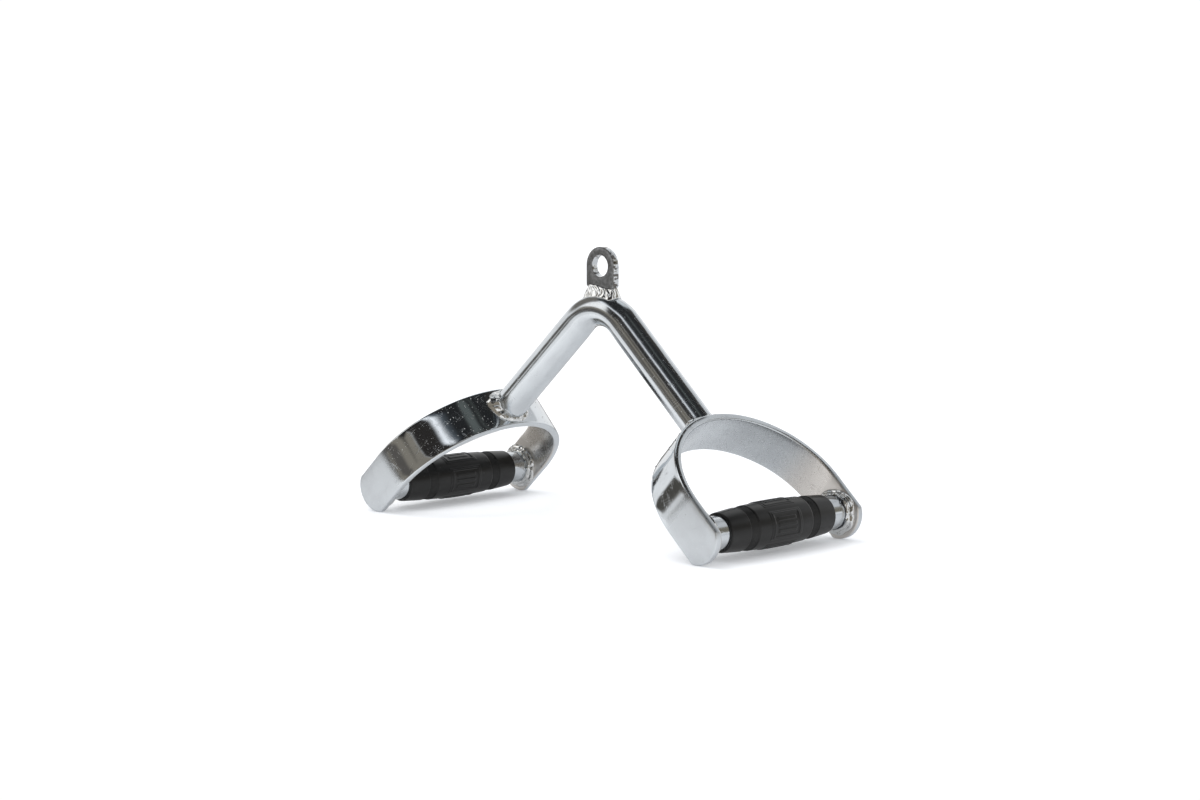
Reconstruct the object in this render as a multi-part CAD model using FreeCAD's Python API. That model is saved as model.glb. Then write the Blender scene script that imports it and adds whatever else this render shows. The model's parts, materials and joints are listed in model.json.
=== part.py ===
import FreeCAD, Part
import math
import os
from FreeCAD import Vector

# Parallel grip row handle: a bent tube with an eye at its top carries a flat bar
# strap on each end, and each strap holds a tube grip with a rubber sleeve.
# Millimetres and degrees. +X runs to the right-hand grip, +Y along the grips and
# away from the viewer, +Z up. The origin is on the floor straight below the eye.

# Bent tube
tube_diameter = 25.4
tube_wall = 2.5
bend_radius = 34.0  # to the tube's centre line
leg_angle = 47.2  # of each leg from the vertical

# Cable eye
eye_width = 29.0
eye_thickness = 6.0
eye_hole_diameter = 16.5
eye_stand = 21.0  # from the top of the bend to the centre of the hole
eye_side_length = 15.0  # from the centre of the hole down to the bevelled corners
eye_bevel = 4.0  # how far each bevel draws the foot in
eye_edge_radius = 0.8

# Straps
grip_spacing = 338.0  # between the axes of the two grips
strap_width = 35.0
strap_thickness = 6.0
strap_opening = 150.0  # between the inner faces of the two ears
strap_reach = 92.0  # from the grip's axis to the outer face of the crown
ear_height = 18.9  # from the grip's axis up to where the shoulder begins to curve
shoulder_turn = 46.8  # degrees that each shoulder turns from its ear to the crown
ear_swell = 3.0  # how far the ear's round end is wider than the strap, before its corners are cut
ear_corner_radius = 3.0
strap_edge_radius = 1.2

# Grip tubes
grip_tube_diameter = 25.4
grip_tube_wall = 2.5

# Rubber sleeves
sleeve_length = 114.3
sleeve_end_wall = 1.8
sleeve_middle_wall = 4.4
sleeve_end_radius = 1.0
band_width = 8.5
band_place = 33.75  # from the middle of the sleeve to the middle of a band
band_depth = 0.4
panel_length = 29.0
panel_height = 17.0
panel_rim = 1.2
panel_relief = 0.6
panel_count = 4
panel_start = 6.0  # degrees above the horizontal of the first outward panel
rib_count = 3
rib_length = 20.0
rib_height = 2.4
rib_pitch = 4.4

# Weld beads: rows of drops, each set off from the corner that it fills by its root
grip_bead_diameter = 7.4
grip_bead_root = 1.6
leg_bead_diameter = 7.8  # before and behind the leg
leg_bead_side_diameter = 5.2  # towards the strap's edges
leg_bead_root = 2.8
leg_bead_side_root = 0.8
leg_bead_lift = 1.8
eye_bead_diameter = 7.8
eye_bead_root = 1.2
eye_bead_end_inset = 2.6  # of the last drops from the ends of the plate
eye_bead_lift = 2.4
bead_pitch_share = 0.42  # from drop to drop, against the bead's diameter
bead_swell_shares = (1.0, 0.94, 1.03, 0.96, 1.06, 0.92)  # drops of a bead, against its diameter

overrun = 5.0  # how far a cutting shape runs past what it cuts

# Worked out from the sizes above
tube_radius = tube_diameter / 2
grip_tube_radius = grip_tube_diameter / 2
sleeve_end_reach = grip_tube_radius + sleeve_end_wall
sleeve_middle_reach = grip_tube_radius + sleeve_middle_wall
ear_radius = strap_width / 2 + ear_swell  # about the grip's axis
grip_height = ear_radius
leg_slope = math.radians(leg_angle)
crown_x = grip_spacing / 2 - strap_reach * math.sin(leg_slope)
crown_z = grip_height + strap_reach * math.cos(leg_slope)
apex_z = crown_z + crown_x / math.tan(leg_slope)  # where the legs' centre lines would cross
bend_centre_z = apex_z - bend_radius / math.sin(leg_slope)
bend_top_z = bend_centre_z + bend_radius + tube_radius
eye_hole_z = bend_top_z + eye_stand
strap_half = strap_opening / 2 + strap_thickness
shoulder_blend = math.radians(shoulder_turn)
radius_step = ear_height + strap_half - strap_reach  # from the shoulder's radius to the crown's
radius_step /= math.sin(shoulder_blend) + math.cos(shoulder_blend) - 1
shoulder_radius = strap_half - radius_step * math.cos(shoulder_blend)
crown_radius = shoulder_radius + radius_step


def arc_points(centre_y, centre_z, radius, start, end):
    """Start, middle and end of an arc in the strap's plane; angles from +Y, in radians."""
    return [
        Vector(0, centre_y + radius * math.cos(angle), centre_z + radius * math.sin(angle))
        for angle in (start, (start + end) / 2, end)
    ]


def strap_outline(inset, foot_z):
    """Open wire of the strap's curve, from the far foot over the crown to the near foot."""
    shoulder_y = strap_half - shoulder_radius
    crown = crown_radius - inset
    shoulder = shoulder_radius - inset
    far = arc_points(shoulder_y, ear_height, shoulder, 0, shoulder_blend)
    top = arc_points(0, strap_reach - crown_radius, crown, shoulder_blend, math.pi - shoulder_blend)
    near = arc_points(-shoulder_y, ear_height, shoulder, math.pi - shoulder_blend, math.pi)
    far_foot = Vector(0, strap_half - inset, foot_z)
    near_foot = Vector(0, inset - strap_half, foot_z)
    edges = [Part.LineSegment(far_foot, far[0]).toShape()]
    edges += [Part.Arc(*points).toShape() for points in (far, top, near)]
    edges.append(Part.LineSegment(near[2], near_foot).toShape())
    return Part.Wire(edges), far_foot, near_foot


def across(face, width):
    """Extrudes a face of the strap's plane to both sides by half of a width."""
    face.translate(Vector(-width / 2, 0, 0))
    return face.extrude(Vector(width, 0, 0))


def ear_profile():
    """The strap seen along the grip: straight sides and ends rounded about the grip's axis."""
    side = strap_width / 2
    corner_x = side - ear_corner_radius
    to_corner = ear_radius - ear_corner_radius
    corner_z = -math.sqrt(to_corner**2 - corner_x**2)
    reach = ear_radius / to_corner
    middle_turn = math.atan2(corner_z, corner_x) / 2
    bulge_x = corner_x + ear_corner_radius * math.cos(middle_turn)
    bulge_z = corner_z + ear_corner_radius * math.sin(middle_turn)
    top_z = strap_reach + overrun
    right = [
        Vector(side, 0, corner_z),
        Vector(bulge_x, 0, bulge_z),
        Vector(corner_x * reach, 0, corner_z * reach),
    ]
    left = [Vector(-point.x, 0, point.z) for point in reversed(right)]
    edges = [
        Part.LineSegment(Vector(side, 0, top_z), right[0]).toShape(),
        Part.Arc(*right).toShape(),
        Part.Arc(right[2], Vector(0, 0, -ear_radius), left[0]).toShape(),
        Part.Arc(*left).toShape(),
        Part.LineSegment(left[2], Vector(-side, 0, top_z)).toShape(),
        Part.LineSegment(Vector(-side, 0, top_z), Vector(side, 0, top_z)).toShape(),
    ]
    return Part.Face(Part.Wire(edges))


def is_seam(edge):
    """A straight edge along the grip or across the strap joins two faces smoothly."""
    if not isinstance(edge.Curve, Part.Line):
        return False
    direction = edge.tangentAt(edge.FirstParameter)
    return abs(direction.z) < abs(direction.x) + abs(direction.y)


def strap():
    """Flat bar bent to a D, in its own frame: X across the bar, Z from the grip to the crown."""
    foot_z = -ear_radius - overrun
    outer, outer_far, outer_near = strap_outline(0, foot_z)
    inner, inner_far, inner_near = strap_outline(strap_thickness, foot_z)
    ends = [
        Part.LineSegment(outer_near, inner_near).toShape(),
        Part.LineSegment(inner_far, outer_far).toShape(),
    ]
    section = Part.Face(Part.Wire(Part.__sortEdges__(outer.Edges + inner.Edges + ends)))
    bar = across(section, strap_width + 2 * overrun)
    depth = strap_half + overrun
    profile = ear_profile()
    profile.translate(Vector(0, -depth, 0))
    shaped = bar.common(profile.extrude(Vector(0, 2 * depth, 0)))
    sharp = [edge for edge in shaped.Edges if not is_seam(edge)]
    return shaped.makeFillet(strap_edge_radius, sharp)


def strap_filling():
    """Everything inside the strap's outer face, wider than the strap: what a leg is cut back by."""
    outer, far_foot, near_foot = strap_outline(0, -ear_radius - overrun)
    closing = Part.LineSegment(near_foot, far_foot).toShape()
    face = Part.Face(Part.Wire(outer.Edges + [closing]))
    return across(face, strap_width + 2 * overrun)


def on_right(shape):
    """Moves a shape from the strap's own frame to the right-hand end of the handle."""
    placed = shape.copy()
    placed.rotate(Vector(), Vector(0, 1, 0), -leg_angle)
    placed.translate(Vector(grip_spacing / 2, 0, grip_height))
    return placed


def mirrored(shape):
    """The same piece on the left-hand end."""
    return shape.mirror(Vector(), Vector(1, 0, 0))


def tube_path():
    """Centre line of the bent tube, run on past the crowns by one overrun."""
    leg = Vector(math.sin(leg_slope), 0, -math.cos(leg_slope))
    end = Vector(crown_x, 0, crown_z) + leg * overrun
    tangent = Vector(bend_radius * math.cos(leg_slope), 0, bend_centre_z + bend_radius * math.sin(leg_slope))
    top = Vector(0, 0, bend_centre_z + bend_radius)

    def flipped(point):
        return Vector(-point.x, 0, point.z)

    edges = [
        Part.LineSegment(flipped(end), flipped(tangent)).toShape(),
        Part.Arc(flipped(tangent), top, tangent).toShape(),
        Part.LineSegment(tangent, end).toShape(),
    ]
    return Part.Wire(edges), flipped(end), Vector(leg.x, 0, -leg.z)


def tube_rod(radius):
    """A round bar along the bent tube's centre line."""
    path, start, direction = tube_path()
    section = Part.Wire(Part.Circle(start, direction, radius).toShape())
    return path.makePipeShell([section], True, False)


def bent_tube(rod, fillings):
    """The tube from crown to crown, its ends cut to sit on the straps."""
    tube = rod.cut(tube_rod(tube_radius - tube_wall))
    for filling in fillings:
        tube = tube.cut(filling)
    return tube


def is_plate_rim(edge):
    """The edges round the two faces of the eye, but not those along its foot inside the tube."""
    crosses_plate = isinstance(edge.Curve, Part.Line) and edge.BoundBox.YLength > eye_edge_radius
    along_foot = edge.BoundBox.ZMax < bend_top_z - eye_edge_radius
    return not crosses_plate and not along_foot


def cable_eye(rod):
    """Flat plate with a round top about its hole; its bevelled foot is cut to sit on the bend."""
    half = eye_width / 2
    foot = half - eye_bevel
    foot_z = bend_top_z - tube_radius
    corner_z = eye_hole_z - eye_side_length
    arc = [Vector(half, 0, eye_hole_z), Vector(0, 0, eye_hole_z + half), Vector(-half, 0, eye_hole_z)]
    corners = [
        arc[2],
        Vector(-half, 0, corner_z),
        Vector(-foot, 0, corner_z - eye_bevel),
        Vector(-foot, 0, foot_z),
        Vector(foot, 0, foot_z),
        Vector(foot, 0, corner_z - eye_bevel),
        Vector(half, 0, corner_z),
        arc[0],
    ]
    edges = [Part.Arc(*arc).toShape()]
    edges += [Part.LineSegment(a, b).toShape() for a, b in zip(corners, corners[1:])]
    face = Part.Face(Part.Wire(edges))
    face.translate(Vector(0, -eye_thickness / 2, 0))
    plate = face.extrude(Vector(0, eye_thickness, 0))
    plate = plate.makeFillet(eye_edge_radius, [edge for edge in plate.Edges if is_plate_rim(edge)])
    hole = bar_along_y(eye_hole_diameter / 2, eye_thickness + 2 * overrun)
    hole.translate(Vector(0, 0, eye_hole_z))
    return plate.cut(hole).cut(rod)


def bar_along_y(radius, length):
    """A round bar along Y, about the origin."""
    return Part.makeCylinder(radius, length, Vector(0, -length / 2, 0), Vector(0, 1, 0))


def grip_tube():
    """Tube between the ears, in the strap's own frame."""
    inside = bar_along_y(grip_tube_radius - grip_tube_wall, strap_opening + 2 * overrun)
    return bar_along_y(grip_tube_radius, strap_opening).cut(inside)


def sleeve_barrel(swell):
    """The sleeve's barrel-shaped outside, standing out by a swell, as a solid of revolution."""
    half = sleeve_length / 2
    end = sleeve_end_reach + swell
    middle = sleeve_middle_reach + swell
    curve = Part.Arc(Vector(end, -half, 0), Vector(middle, 0, 0), Vector(end, half, 0)).toShape()
    corners = [Vector(end, half, 0), Vector(0, half, 0), Vector(0, -half, 0), Vector(end, -half, 0)]
    edges = [curve] + [Part.LineSegment(a, b).toShape() for a, b in zip(corners, corners[1:])]
    face = Part.Face(Part.Wire(edges))
    return face.revolve(Vector(), Vector(0, 1, 0), 360)


def panel_block(length, height, offset=0):
    """A block from the grip's axis outwards along X, as long and as high as a panel."""
    depth = sleeve_middle_reach + panel_relief + overrun
    return Part.makeBox(depth, length, height, Vector(0, -length / 2, offset - height / 2))


def sleeve_panel():
    """Raised rim and ribs of one panel, still with everything beneath them."""
    frame = panel_block(panel_length, panel_height)
    frame = frame.cut(panel_block(panel_length - 2 * panel_rim, panel_height - 2 * panel_rim))
    middle = (rib_count - 1) / 2
    ribs = [panel_block(rib_length, rib_height, (i - middle) * rib_pitch) for i in range(rib_count)]
    return frame.fuse(ribs)


def rubber_sleeve():
    """Rubber sleeve on the grip tube, in the grip's own frame: X points outwards."""
    body = sleeve_barrel(0)
    body = body.makeFillet(sleeve_end_radius, [edge for edge in body.Edges if is_end_rim(edge)])
    for place in (-band_place, band_place):
        ring = bar_along_y(sleeve_middle_reach + overrun, band_width)
        ring.translate(Vector(0, place, 0))
        body = body.cut(ring.cut(sleeve_barrel(-band_depth)))
    panel = sleeve_panel().common(sleeve_barrel(panel_relief))
    for i in range(panel_count):
        turned = panel.copy()
        turned.rotate(Vector(), Vector(0, 1, 0), -panel_start - i * 360 / panel_count)
        body = body.fuse(turned)
    return body.cut(bar_along_y(grip_tube_radius, sleeve_length + 2 * overrun))


def is_end_rim(edge):
    """The circles at the two ends of the sleeve's barrel."""
    at_end = abs(abs(edge.CenterOfMass.y) - sleeve_length / 2) < sleeve_end_radius / 2
    return at_end and edge.Closed


def bead(row, neighbours):
    """Weld bead: a row of overlapping drops, less the pieces that it joins."""
    drops = []
    for i, (place, diameter) in enumerate(row):
        swell = bead_swell_shares[i % len(bead_swell_shares)]
        drops.append(Part.makeSphere(diameter * swell / 2, place))
    solid = drops[0].fuse(drops[1:])
    for neighbour in neighbours:
        solid = solid.cut(neighbour)
    return solid


def round_turns(radius, diameter):
    """Cosine and sine for each drop of a bead that goes round a ring."""
    count = round(2 * math.pi * radius / (bead_pitch_share * diameter))
    turns = [2 * math.pi * i / count for i in range(count)]
    return [(math.cos(turn), math.sin(turn)) for turn in turns]


def grip_weld(end, neighbours):
    """Bead round the grip tube against one ear: end is -1 at the front and 1 at the rear."""
    radius = grip_tube_radius + grip_bead_root
    y = end * (strap_opening / 2 - grip_bead_root)
    turns = round_turns(radius, grip_bead_diameter)
    row = [(Vector(radius * right, y, radius * up), grip_bead_diameter) for right, up in turns]
    return bead(row, neighbours)


def leg_weld(neighbours):
    """Bead round a leg's foot on the crown, slimmer towards the strap's edges."""
    row = []
    for right, back in round_turns(tube_radius + leg_bead_root, leg_bead_diameter):
        x = (tube_radius + leg_bead_side_root) * right
        y = (tube_radius + leg_bead_root) * back
        z = strap_reach - crown_radius + math.sqrt(crown_radius**2 - y**2) + leg_bead_lift
        diameter = leg_bead_side_diameter + (leg_bead_diameter - leg_bead_side_diameter) * back**2
        row.append((Vector(x, y, z), diameter))
    return bead(row, neighbours)


def bend_surface_z(x, y):
    """Height of the bend's upper surface."""
    reach = bend_radius + math.sqrt(tube_radius**2 - y**2)
    return bend_centre_z + math.sqrt(reach**2 - x**2)


def eye_weld(neighbours):
    """Bead round the foot of the eye, along the bend."""
    end_x = eye_width / 2 - eye_bead_end_inset
    side_y = eye_thickness / 2 + eye_bead_root
    steps = round(2 * end_x / (bead_pitch_share * eye_bead_diameter))
    front = [(end_x * (2 * i / steps - 1), -side_y) for i in range(steps + 1)]
    back = [(-x, -y) for x, y in front]
    row = []
    for x, y in front + [(end_x, 0)] + back + [(-end_x, 0)]:
        row.append((Vector(x, y, bend_surface_z(x, y) + eye_bead_lift), eye_bead_diameter))
    return bead(row, neighbours)


def main():
    rod = tube_rod(tube_radius)
    own_strap = strap()
    own_grip_bar = bar_along_y(grip_tube_radius, strap_opening)
    own_leg_bar = Part.makeCylinder(tube_radius, strap_reach, Vector(0, 0, strap_reach / 2))
    filling = on_right(strap_filling())
    eye = cable_eye(rod)
    sleeve = rubber_sleeve()
    sleeve.translate(Vector(grip_spacing / 2, 0, grip_height))
    right = {
        "strap": on_right(own_strap),
        "grip_tube": on_right(grip_tube()),
        "rubber_sleeve": sleeve,
        "leg_weld": on_right(leg_weld([own_strap, own_leg_bar])),
        "front_grip_weld": on_right(grip_weld(-1, [own_strap, own_grip_bar])),
        "rear_grip_weld": on_right(grip_weld(1, [own_strap, own_grip_bar])),
    }
    nodes = {
        "bent_tube": bent_tube(rod, [filling, mirrored(filling)]),
        "cable_eye": eye,
        "eye_weld": eye_weld([eye, rod]),
    }
    for name, shape in right.items():
        nodes["right_" + name] = shape
        nodes["left_" + name] = mirrored(shape)

    os.makedirs("parts", exist_ok=True)
    for name, shape in nodes.items():
        shape = shape.removeSplitter()
        print(f"{name}: {len(shape.Solids)} solid, valid {shape.isValid()}, {shape.Volume:.0f} mm3")
        shape.exportStep(f"parts/{name}.step")


main()
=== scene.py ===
import json
import math

import bpy
from mathutils import Matrix, Vector, noise


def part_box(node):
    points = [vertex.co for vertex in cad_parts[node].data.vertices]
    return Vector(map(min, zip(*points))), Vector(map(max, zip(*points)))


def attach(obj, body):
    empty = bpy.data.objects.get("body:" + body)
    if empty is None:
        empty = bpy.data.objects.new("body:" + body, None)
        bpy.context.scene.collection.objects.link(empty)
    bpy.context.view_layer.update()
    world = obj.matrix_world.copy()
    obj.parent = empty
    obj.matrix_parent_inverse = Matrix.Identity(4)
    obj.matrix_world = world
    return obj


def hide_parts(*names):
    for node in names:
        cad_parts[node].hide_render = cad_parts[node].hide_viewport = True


# Parallel grip row handle, dressed for its picture: a plated bent tube with a welded
# eye, two flat-bar straps, and a rubber-sleeved tube grip across each strap.
# Metres. +X runs to the right-hand grip, +Y along the grips, +Z up.

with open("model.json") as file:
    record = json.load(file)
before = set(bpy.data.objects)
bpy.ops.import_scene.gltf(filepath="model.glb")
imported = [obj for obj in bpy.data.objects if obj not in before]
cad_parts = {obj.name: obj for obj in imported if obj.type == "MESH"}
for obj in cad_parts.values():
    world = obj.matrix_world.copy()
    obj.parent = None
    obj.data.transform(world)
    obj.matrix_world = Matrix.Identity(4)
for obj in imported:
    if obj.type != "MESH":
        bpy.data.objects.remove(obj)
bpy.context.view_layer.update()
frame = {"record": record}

mm = 0.001

# Sizes that the frame's boxes don't give
leg_slope = math.radians(47.2)  # of each leg from the vertical, and of each strap
bend_radius = 34 * mm
strap_width = 35 * mm
strap_thickness = 6 * mm
strap_reach = 92 * mm
strap_edge = 1.2 * mm
edge_roll = 5 * mm  # how far from its edges the bar starts to thin
edge_thinning = 0.3 * mm
ear_height = 18.9 * mm
ear_swell = 3 * mm
ear_corner = 3 * mm
shoulder_turn = math.radians(46.8)
eye_side = 15 * mm
eye_bevel = 4 * mm
eye_edge = 0.8 * mm
hole_edge = 0.3 * mm
grip_wall = 2.5 * mm
end_wall = 1.8 * mm  # of the rubber, at its ends and in its middle
middle_wall = 4.4 * mm

# So that the two sides aren't marked alike
left_shift = 0.7  # of the places that the left-hand pieces have in the noise

# Sizes read from the frame
tube_low, tube_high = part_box("bent_tube")
tube_radius = tube_high.y
eye_low, eye_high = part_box("cable_eye")
eye_half = eye_high.x
eye_thickness = eye_high.y - eye_low.y
grip_low, grip_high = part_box("right_grip_tube")
grip_x = (grip_low.x + grip_high.x) / 2
grip_z = (grip_low.z + grip_high.z) / 2
grip_radius = (grip_high.x - grip_low.x) / 2
grip_half = grip_high.y
sleeve_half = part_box("right_rubber_sleeve")[1].y
strap_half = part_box("right_strap")[1].y
hole = next(mount for mount in frame["record"]["mounts"] if mount["name"] == "eye_hole")
hole_z = hole["pos_m"][2]
hole_radius = hole["dims"]["r_mm"] * mm

# Worked out from both
ear_radius = strap_width / 2 + ear_swell
shoulder_share = math.sin(shoulder_turn) + math.cos(shoulder_turn) - 1
radius_step = (ear_height + strap_half - strap_reach) / shoulder_share
shoulder_radius = strap_half - radius_step * math.cos(shoulder_turn)
crown_radius = shoulder_radius + radius_step
crown_x = grip_x - strap_reach * math.sin(leg_slope)
crown_z = grip_z + strap_reach * math.cos(leg_slope)
bend_centre_z = crown_z + crown_x / math.tan(leg_slope) - bend_radius / math.sin(leg_slope)

# From a strap's own frame, which has the grip's axis along Y and the crown straight above it
own_to_row = Matrix.Translation((grip_x, 0, grip_z)) @ Matrix.Rotation(-leg_slope, 4, "Y")


def smooth_step(value, low, high):
    share = min(1, max(0, (value - low) / (high - low)))
    return share * share * (3 - 2 * share)


def wobble(x, y, z, size):
    """Smooth noise from about -1 to 1 with bumps of a given size."""
    return noise.noise(Vector((x, y, z)) / size)


def grid_faces(rows, columns, wrap_rows=False, wrap_columns=False):
    """Quads of a grid of points that is stored row by row."""
    faces = []
    for i in range(rows if wrap_rows else rows - 1):
        here = i * columns
        below = (i + 1) % rows * columns
        for j in range(columns if wrap_columns else columns - 1):
            beside = (j + 1) % columns
            faces.append((here + j, here + beside, below + beside, below + j))
    return faces


def turned_round(faces):
    return [tuple(reversed(face)) for face in faces]


def add_object(name, data):
    made = bpy.data.objects.new(name, data)
    bpy.context.collection.objects.link(made)
    return made


def add_piece(node, ending, points, faces, flat, material, side=None):
    """Makes the piece that stands for a CAD node, out of points for the middle or the right-hand side.

    flat holds the points as they lie on the unbent stock.
    """
    if side:
        node = ("right_" if side > 0 else "left_") + node
    mirror = side == -1
    if mirror:
        points = [Vector((-p.x, p.y, p.z)) for p in points]
        faces = turned_round(faces)
    name = node + "_" + ending
    mesh = bpy.data.meshes.new(name)
    mesh.from_pydata([tuple(p) for p in points], [], faces)
    mesh.polygons.foreach_set("use_smooth", [True] * len(mesh.polygons))
    layer = mesh.attributes.new("flat", "FLOAT_VECTOR", "POINT")
    shift = left_shift if mirror else 0.0
    layer.data.foreach_set("vector", [value for p in flat for value in (p[0], p[1] + shift, p[2])])
    mesh.materials.append(material)
    piece = add_object(name, mesh)
    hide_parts(node)
    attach(piece, "root")


# Bent tube

tube_step = 0.9 * mm  # from one ring of points to the next
foot_margin = 3 * mm  # from the last even ring to the middle of the foot
bend_fade_shares = (0.55, 1.45)  # of the bend's length, over which its flattening fades
inner_flattening_share = 0.045
outer_flattening_share = 0.012
pucker_height = 0.25 * mm
pucker_spacing = 1.6 * mm
pucker_reach = 7 * mm
round_arm = 4 * mm  # turns an angle round a tube into a length for the noise
tube_dent = 0.03 * mm
tube_dent_size = 14 * mm


def bend_point(along):
    """Centre of the tube, its outward normal and how far inside the bend, by length from the top."""
    turn_end = math.pi / 2 - leg_slope
    bend_length = bend_radius * turn_end
    side = 1 if along >= 0 else -1
    reach = abs(along)
    turn = min(reach / bend_radius, turn_end)
    centre = Vector((bend_radius * math.sin(turn), 0, bend_centre_z + bend_radius * math.cos(turn)))
    if reach > bend_length:
        centre += Vector((math.cos(turn), 0, -math.sin(turn))) * (reach - bend_length)
    normal = Vector((math.sin(turn), 0, math.cos(turn)))
    centre.x *= side
    normal.x *= side
    start_share, end_share = bend_fade_shares
    in_bend = 1 - smooth_step(reach, bend_length * start_share, bend_length * end_share)
    return centre, normal, in_bend


def crown_height(y):
    """Height of the strap's outer face over the grip's axis, in the strap's own frame."""
    return strap_reach - crown_radius + math.sqrt(crown_radius**2 - y**2)


def make_bent_tube(material):
    """The tube, slightly flattened and puckered inside its bend, its feet fitted to the straps."""
    columns = 128
    tangent_z = bend_centre_z + bend_radius * math.sin(leg_slope)
    tangent = Vector((bend_radius * math.cos(leg_slope), 0, tangent_z))
    leg_length = (Vector((crown_x, 0, crown_z)) - tangent).length
    half = bend_radius * (math.pi / 2 - leg_slope) + leg_length
    last = half - foot_margin
    count = round(2 * last / tube_step)
    stations = [last * (2 * i / count - 1) for i in range(count + 1)]
    points = []
    flat = []

    def foot_ring(side):
        axis = Vector((side * math.sin(leg_slope), 0, -math.cos(leg_slope)))
        normal = Vector((side * math.cos(leg_slope), 0, math.sin(leg_slope)))
        centre = Vector((side * crown_x, 0, crown_z))
        for j in range(columns):
            angle = 2 * math.pi * j / columns
            y = tube_radius * math.sin(angle)
            drop = strap_reach - crown_height(y)
            spot = centre + normal * tube_radius * math.cos(angle) + Vector((0, y, 0))
            points.append(spot + axis * drop)
            flat.append((side * (half + drop), tube_radius * math.cos(angle), y))

    foot_ring(-1)
    for along in stations:
        centre, normal, in_bend = bend_point(along)
        for j in range(columns):
            angle = 2 * math.pi * j / columns
            up = math.cos(angle)
            inner = max(0, -up)
            outer = max(0, up)
            flattening = in_bend * (inner_flattening_share * inner**2 + outer_flattening_share * outer**2)
            fading = math.exp(-((along / pucker_reach) ** 2))
            pucker = math.sin(along / pucker_spacing) * fading - in_bend
            radius = tube_radius * (1 - flattening) + pucker_height * inner**6 * pucker
            radius -= tube_dent * (1 + wobble(along, angle * round_arm, 0, tube_dent_size))
            y = radius * math.sin(angle)
            points.append(centre + normal * radius * up + Vector((0, y, 0)))
            flat.append((along, tube_radius * up, tube_radius * math.sin(angle)))
    foot_ring(1)
    rows = count + 3
    faces = grid_faces(rows, columns, wrap_columns=True)
    for side, row in ((-1, 0), (1, rows - 1)):
        points.append(Vector((side * crown_x, 0, crown_z)))
        flat.append((side * half, 0, 0))
        for j in range(columns):
            ends = (row * columns + j, row * columns + (j + 1) % columns)
            faces.append((len(points) - 1, *(ends if side > 0 else reversed(ends))))
    add_piece("bent_tube", "drawn", points, turned_round(faces), flat, material)


# Straps

outline_step = 1.5 * mm
face_support = 0.25 * mm  # from the worn edge to the first row of points on a face
strap_bow = 0.08 * mm
strap_bow_size = 30 * mm
strap_wear = 0.06 * mm
strap_wear_size = 17 * mm
strap_dent = 0.05 * mm
strap_dent_size = 14 * mm
half_to_axis = crown_radius * (math.pi / 2 - shoulder_turn) + shoulder_radius * shoulder_turn + ear_height


def outer_curve(along):
    """Point and outward normal of the strap's outer face, by length from the crown's middle."""
    side = 1 if along >= 0 else -1
    reach = abs(along)
    crown_turn = math.pi / 2 - shoulder_turn
    crown_length = crown_radius * crown_turn
    shoulder_length = shoulder_radius * shoulder_turn
    if reach <= crown_length:
        turn = reach / crown_radius
        y = crown_radius * math.sin(turn)
        z = strap_reach - crown_radius + crown_radius * math.cos(turn)
    elif reach <= crown_length + shoulder_length:
        turn = crown_turn + (reach - crown_length) / shoulder_radius
        y = strap_half - shoulder_radius + shoulder_radius * math.sin(turn)
        z = ear_height + shoulder_radius * math.cos(turn)
    else:
        turn = math.pi / 2
        y = strap_half
        z = ear_height - (reach - crown_length - shoulder_length)
    return Vector((0, side * y, z)), Vector((0, side * math.sin(turn), math.cos(turn)))


def blank_outline():
    """Half outline of the flat bar before bending: stations of (length, half width, normal)."""
    side = strap_width / 2
    corner_x = side - ear_corner
    corner_drop = math.sqrt((ear_radius - ear_corner) ** 2 - corner_x**2)
    corner_turn = math.atan2(corner_drop, corner_x)
    straight = half_to_axis + corner_drop
    count = round(straight / outline_step)
    stations = [(straight * i / count, side, (0.0, 1.0)) for i in range(count)]
    corner_steps = 10
    for i in range(corner_steps):
        turn = corner_turn * i / corner_steps
        normal = (math.sin(turn), math.cos(turn))
        stations.append((straight + ear_corner * normal[0], corner_x + ear_corner * normal[1], normal))
    end_steps = 26
    for i in range(end_steps + 1):
        turn = corner_turn + (math.pi / 2 - corner_turn) * i / end_steps
        normal = (math.sin(turn), math.cos(turn))
        stations.append((half_to_axis + ear_radius * normal[0], ear_radius * normal[1], normal))
    return stations


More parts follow.
